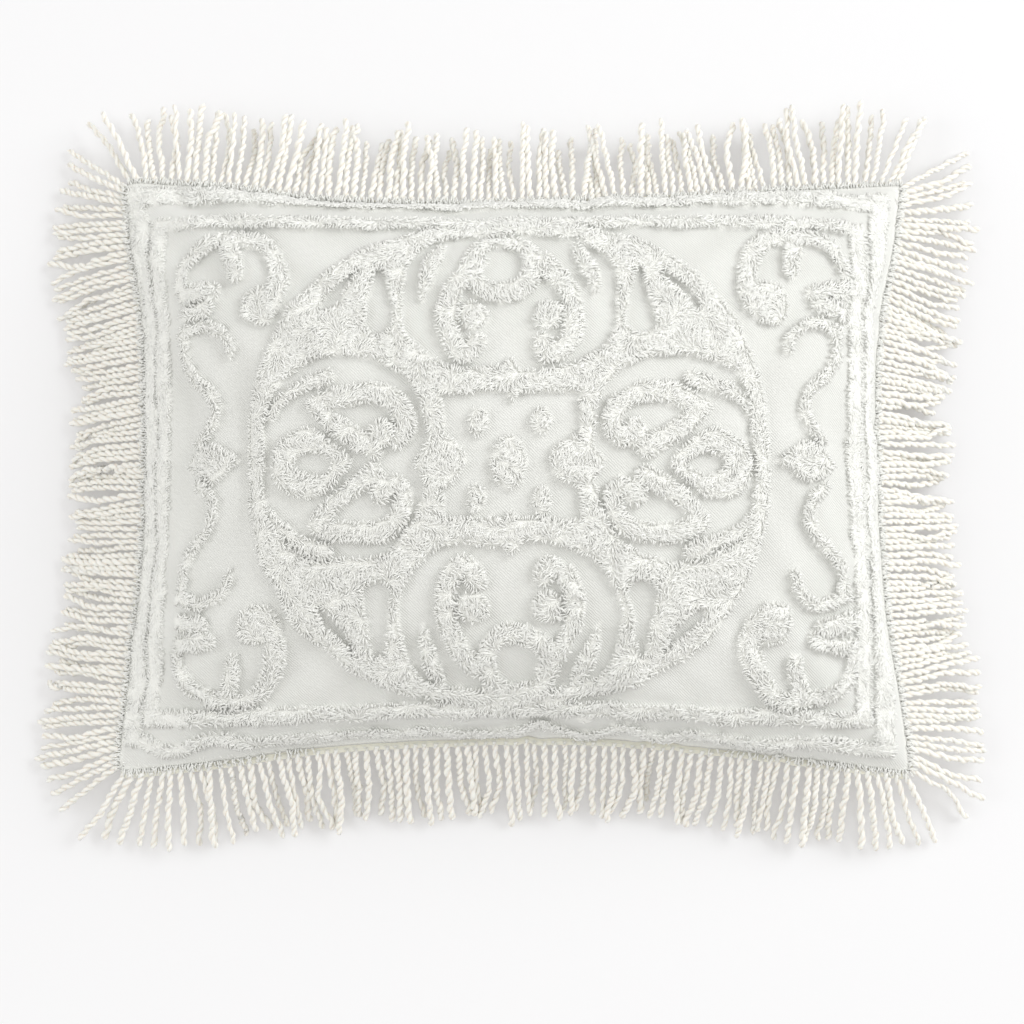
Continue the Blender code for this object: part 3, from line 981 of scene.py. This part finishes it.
# %% The seam's line
CORD_LENGTH = 0.077
CORD_RADIUS = 2.75 * MM
CORD_TURN = 16.5 * MM  # the length of one full turn of the plies
CORD_PITCH = {"top": 6.9 * MM, "bottom": 7.9 * MM, "left": 5.4 * MM, "right": 5.4 * MM}
# How high the highest tips lie, and how much longer than CORD_LENGTH the less crimped cords are
TIP_RISE = {"top": 26 * MM, "bottom": 9 * MM, "left": 4 * MM, "right": 8 * MM}
REACHES_FURTHER = {"top": 1.0, "bottom": 1.0, "left": 1.07, "right": 1.06}
HEADING_HALF = 0.8 * MM  # half the heading's thickness
# How wide the heading is outside the seam, and how far below it: at the foot it is in view
HEADING_WIDTH = {"top": 2.4 * MM, "bottom": 5.4 * MM, "left": 2.4 * MM, "right": 2.4 * MM}
HEADING_DROP = {"top": 1.4 * MM, "bottom": 0.3 * MM, "left": 1.0 * MM, "right": 1.0 * MM}
HEADING_STATIONS, HEADING_POINTS = 150, 24
SEAM_GAP = 0.4 * MM
ROOT_SINK = 0.4 * MM  # how deep a cord's root lies in the heading
FAN_REACH, FAN_ANGLE, FAN_POWER = 0.080, math.radians(35), 1.6
SIDES = {"top": (0, 1), "bottom": (0, -1), "left": (-1, 0), "right": (1, 0)}


def seam_line(name, count=600):
    """Points along one side's seam, from its left or lower end, with the distance walked to each."""
    facing_x, facing_y = SIDES[name]
    share = np.linspace(-1, 1, count)
    u = facing_x * CUT_HALF[0] if facing_x else share * CUT_HALF[0]
    v = facing_y * CUT_HALF[1] if facing_y else share * CUT_HALF[1]
    points = on_cover(np.broadcast_to(u, share.shape), np.broadcast_to(v, share.shape))
    return points, walked_along(points)


def seam_frame(name, distance):
    """For distances along a side: the seam's point, and in plan the directions along it and outward."""
    points, walked = seam_line(name)

    def at(places):
        return np.stack([np.interp(places, walked, points[:, k]) for k in range(3)], -1)

    blur = 12 * MM
    ahead, behind = at(np.minimum(distance + blur, walked[-1])), at(np.maximum(distance - blur, 0))
    along = unit((ahead - behind) * (1, 1, 0))
    facing = np.array((*SIDES[name], 0.0))
    outward = np.stack([-along[:, 1], along[:, 0], 0 * along[:, 0]], -1)
    outward *= np.sign(outward @ facing)[:, None]
    return at(distance), along, outward


# %% [markdown]
# Each cord's path is a curve with four handles: its root, two that shape the fall, and its tip on the
# surface. The reach is found so that every cord has its real length. Neighbours lean together in loose
# clusters, and each wavers and kinks a little by itself. Then the cords push each other apart where they
# would cross, as real ones do when they are combed by hand.

# %% Lay the cords
PATH_POINTS = 39
OUT_HANDLES, DOWN_HANDLES = (0.36, 0.69), (0.26, 0.76)  # the middle handles, as shares of the reach and drop
WAVER, KINK = 2.2 * MM, 0.55 * MM
LEAST_APART = 2 * CORD_RADIUS * 0.9  # soft cords press into each other a little
LEAST_HEIGHT = 1.22 * CORD_RADIUS  # a thick cord's lumps stay clear of the surface


def fall(t, handles):
    """A curve from 0 to 1 with two middle handles, at each share t of the way along it."""
    near, far = handles
    return 3 * (1 - t) ** 2 * t * near + 3 * (1 - t) * t**2 * far + t**3


def kinks(share, count):
    """How far each cord is bent from its path all the way along it, from none at its root."""
    pace, phase = chance.uniform(3.5, 6.5, (count, 1)), chance.uniform(0, 6.3, (count, 1))
    return KINK * np.sin(2 * math.pi * share * pace + phase) * np.clip(share * 5, 0, 1)


def path_lengths(paths):
    return np.linalg.norm(np.diff(paths, axis=1), axis=2).sum(1)


def spread_apart(paths, least, passes=30):
    """Moves the points of neighbouring cords apart, sideways and up, where they come too close."""
    paths = paths.copy()
    grip = np.linspace(0, 1, paths.shape[1])[None, :, None] ** 0.5
    for _ in range(passes):
        for step in (1, 2):
            gap = paths[step:] - paths[:-step]
            distance = np.linalg.norm(gap, axis=-1, keepdims=True)
            push = np.clip(least - distance, 0, None) / 2 * gap / np.maximum(distance, 1e-9) * grip
            paths[step:] += 0.5 * push
            paths[:-step] -= 0.5 * push
    return paths


def lay_cords(name):
    """The paths of one side's cords, each PATH_POINTS points from its root to its tip."""
    length = seam_line(name)[1][-1]
    count = round(length / CORD_PITCH[name])
    distance = (np.arange(count) + 0.5) / count * length
    distance = distance + chance.normal(0, 0.5 * MM, count)
    seam, along, outward = seam_frame(name, distance)
    near = np.minimum(distance, length - distance)
    fan = FAN_ANGLE * np.clip(1 - near / FAN_REACH, 0, 1) ** FAN_POWER * np.sign(distance - length / 2)
    loose = 1.0 if name in ("top", "bottom") else 0.8  # the side cords lie straighter
    drift = 0.065 * wave_noise(20 + len(name), distance, 0 * distance, 0.04) + chance.normal(0, 0.040, count)
    lean = fan + loose * drift
    way = np.cos(lean)[:, None] * outward + np.sin(lean)[:, None] * along
    aside = np.cos(lean)[:, None] * along - np.sin(lean)[:, None] * outward
    past_seam, below_seam = HEADING_WIDTH[name] / 2 - ROOT_SINK, ROOT_SINK + 0.35 * HEADING_DROP[name]
    root = seam + past_seam * outward - np.array((0, 0, below_seam))
    tip_height = 1.1 * CORD_RADIUS + chance.uniform(0.1, 1, count) * TIP_RISE[name]
    drop = root[:, 2] - tip_height
    uneven = 0.035 * wave_noise(30 + len(name), distance, 0 * distance, 0.05) + chance.normal(0, 0.03, count)
    at_corner = np.clip(1 - near / FAN_REACH, 0, 1)  # the cords there lie curled and reach less far
    target = CORD_LENGTH * REACHES_FURTHER[name] * (1 + uneven - 0.10 * at_corner)
    share = np.linspace(0, 1, PATH_POINTS)
    slow, quick = np.sin(math.pi * share * 1.3) * share, np.sin(math.pi * share * 2.6 + 0.5) * share * 0.7
    waver = (chance.normal(0, WAVER, (2, count, 1)) * np.stack([slow, quick])[:, None, :]).sum(0)
    kink_aside, kink_up = kinks(share, count), kinks(share, count)
    down = drop[:, None] * fall(share, DOWN_HANDLES)
    reach = np.sqrt(np.maximum(target**2 - drop**2, (0.3 * CORD_LENGTH) ** 2))
    for _ in range(6):
        out = reach[:, None] * fall(share, OUT_HANDLES)
        paths = (
            root[:, None]
            + out[..., None] * way[:, None]
            + (waver + kink_aside)[..., None] * aside[:, None]
            + (kink_up - down)[..., None] * np.array((0, 0, 1.0))
        )
        reach *= (target / path_lengths(paths)) ** 1.3
    paths = spread_apart(paths, LEAST_APART)
    paths[..., 2] = np.maximum(paths[..., 2], LEAST_HEIGHT)
    print(f"{name}: {count} cords, {path_lengths(paths).mean() / MM:.1f} mm long on average")
    return paths


# %% [markdown]
# The section's outline is the outer edge of two circles side by side, drawn with three points on each ply
# and one in each valley. The points turn with the plies, so that the mesh's own lines follow the twist, which
# is tighter in some cords than in others. At the tip the section shrinks and closes, as the loop at the end
# of a doubled yarn does. The heading is swept along the seam in the same mesh.

# %% Twist the cords
# Twice round the section: the crown of a ply, its shoulder, the groove, and the next ply's shoulder
SECTION = np.radians([0, 52, 90, 128, 180, 232, 270, 308])
SECTION_RADIUS = CORD_RADIUS * np.array([1.0, 0.85, 0.50, 0.85] * 2)
# The points in each groove, which the cords' material darkens as painted shade
GROOVE_SHADE_POINTS = np.array([0, 0, 1, 0] * 2)
TWIST_VARIES, SIZE_VARIES = 0.12, 0.07
TIP_ROUND = 2.6 * MM


def twisted_cords(paths):
    """Points, side faces and end faces of closed two-ply cords along these paths."""
    count, stations = paths.shape[:2]
    way = unit(np.gradient(paths, axis=1))
    level = unit(np.cross(way, (0, 0, 1.0)))
    above = np.cross(level, way)
    walked = walked_along(paths)
    uneven = 0.5 * np.sin(walked / (9 * MM) + chance.uniform(0, 2 * math.pi, (count, 1)))
    one_turn = CORD_TURN * (1 + chance.normal(0, TWIST_VARIES, (count, 1)))
    turn = -2 * math.pi * walked / one_turn + uneven + chance.uniform(0, 2 * math.pi, (count, 1))
    to_tip = np.clip((walked[:, -1:] - walked) / TIP_ROUND, 0, 1)
    size = 0.35 + 0.65 * np.sqrt(1 - (1 - to_tip) ** 2)
    lumps = 0.05 * np.sin(walked / (3.7 * MM) + chance.uniform(0, 2 * math.pi, (count, 1)))
    size = size * (1 + chance.normal(0, SIZE_VARIES, (count, 1)) + lumps)
    angle = SECTION + turn[..., None]
    radius = SECTION_RADIUS * size[..., None]
    rings = (
        paths[:, :, None]
        + (radius * np.cos(angle))[..., None] * level[:, :, None]
        + (radius * np.sin(angle))[..., None] * above[:, :, None]
    )
    at = np.arange(rings[..., 0].size).reshape(count, stations, len(SECTION))
    following = np.roll(at, -1, axis=2)
    # Each face starts at its forward corner, so that it is divided along the cord and not across the groove
    sides = np.stack([following[:, 1:], following[:, :-1], at[:, :-1], at[:, 1:]], -1).reshape(-1, 4)
    ends = np.concatenate([at[:, 0], at[:, -1, ::-1]])
    return rings.reshape(-1, 3), sides, ends


def heading_strip(name, first):
    """The woven heading along a side: a flat oval, ribbed where it is wide, swept along outside the seam."""
    length = seam_line(name)[1][-1]
    distance = np.linspace(1.5 * MM, length - 1.5 * MM, HEADING_STATIONS)
    width = HEADING_WIDTH[name]
    seam, along, outward = seam_frame(name, distance)
    middle_line = seam + (SEAM_GAP + width / 2) * outward - np.array((0, 0, HEADING_DROP[name]))
    angle = np.linspace(0, 2 * math.pi, HEADING_POINTS, endpoint=False)
    ribs = 1 + 0.22 * np.cos(4 * angle) * (width > 3 * MM)  # grooves between its rows of thread
    rings = (
        middle_line[:, None]
        + (width / 2 * np.cos(angle))[None, :, None] * outward[:, None]
        + (HEADING_HALF * ribs * np.sin(angle))[None, :, None] * np.array((0, 0, 1.0))
    )
    at = first + np.arange(rings[..., 0].size).reshape(len(distance), -1)
    following = np.roll(at, -1, axis=1)
    # The section turns the other way where the outside is on the other hand of the walk
    flip = 1 if np.cross(along[0], outward[0])[2] > 0 else -1
    sides = np.stack([at[:-1], following[:-1], following[1:], at[1:]], -1).reshape(-1, 4)[:, ::flip]
    ends = np.stack([at[0, ::-1], at[-1]])[:, ::flip]
    return rings.reshape(-1, 3), sides, ends


def hang_fringe(name):
    points, sides, ends = twisted_cords(lay_cords(name))
    strip, strip_sides, strip_ends = heading_strip(name, len(points))
    fringe = mesh_object(
        f"bullion_{name}",
        np.vstack([points, strip]),
        [np.vstack([sides, strip_sides]), ends, strip_ends],
        cord_cotton,
    )
    # The grooves' points carry painted shade, and the heading's points carry its deeper colour
    groove_shade_points = np.tile(GROOVE_SHADE_POINTS, len(points) // len(GROOVE_SHADE_POINTS))
    keep_values(fringe, "groove_shade", np.r_[groove_shade_points, np.zeros(len(strip))])
    keep_values(fringe, "heading", np.r_[np.zeros(len(points)), np.ones(len(strip))])
    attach(fringe, "root")
    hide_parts(f"fringe_{name}")


for side_name in SIDES:
    hang_fringe(side_name)

# %% [markdown]
# ## Finish
#
# The box of the solids and the box of what was modelled are printed side by side.

# %% Sizes
visual_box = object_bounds()
for label, box in (("solids", cad_box), ("looks", visual_box)):
    print(label, [[round(value, 4) for value in corner] for corner in box])
